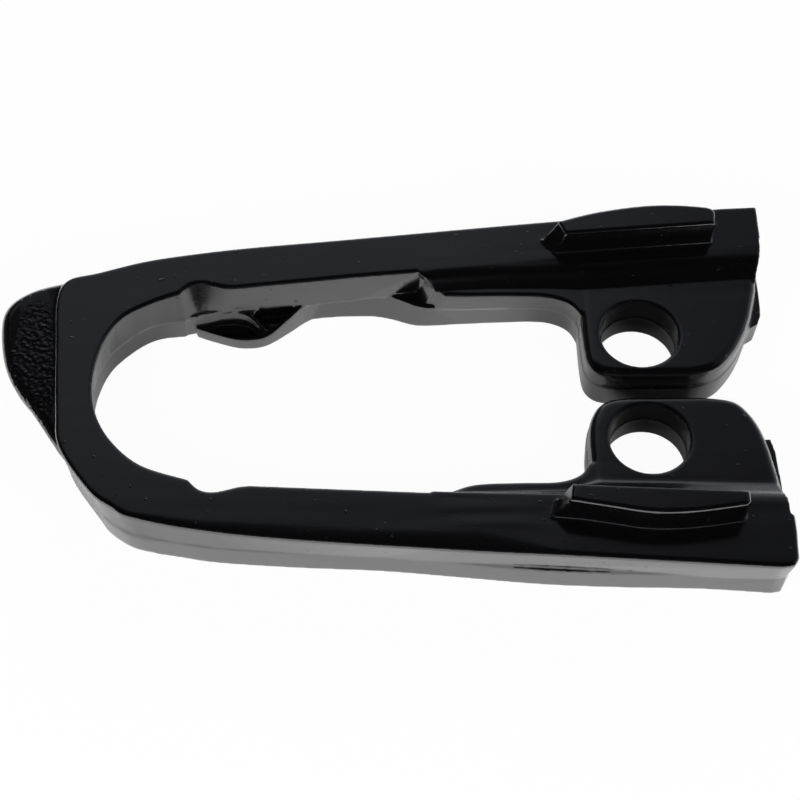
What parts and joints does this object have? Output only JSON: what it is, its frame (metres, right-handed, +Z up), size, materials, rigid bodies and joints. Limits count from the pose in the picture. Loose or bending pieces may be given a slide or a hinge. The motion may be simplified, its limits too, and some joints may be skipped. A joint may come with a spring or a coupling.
{
  "type": "chain slider",
  "caption": "Loop-shaped moulded guard that straddles a motorcycle swingarm, with two bolt ears and a long slot between its legs.",
  "frame": {"origin": "centre of the overall box in plan, on the far side that the part lies on", "axes": "+X along the legs from the closed end of the loop to the bolt ears, +Y across the legs, +Z up through the thickness"},
  "size_m": [0.221, 0.1206, 0.0288],
  "materials": {
    "black_urethane": "moulded, satin to gloss black, with a fine textured patch on the nose"
  },
  "bodies": {
    "root": {"chain_slider": "black_urethane"}
  },
  "joints": []
}
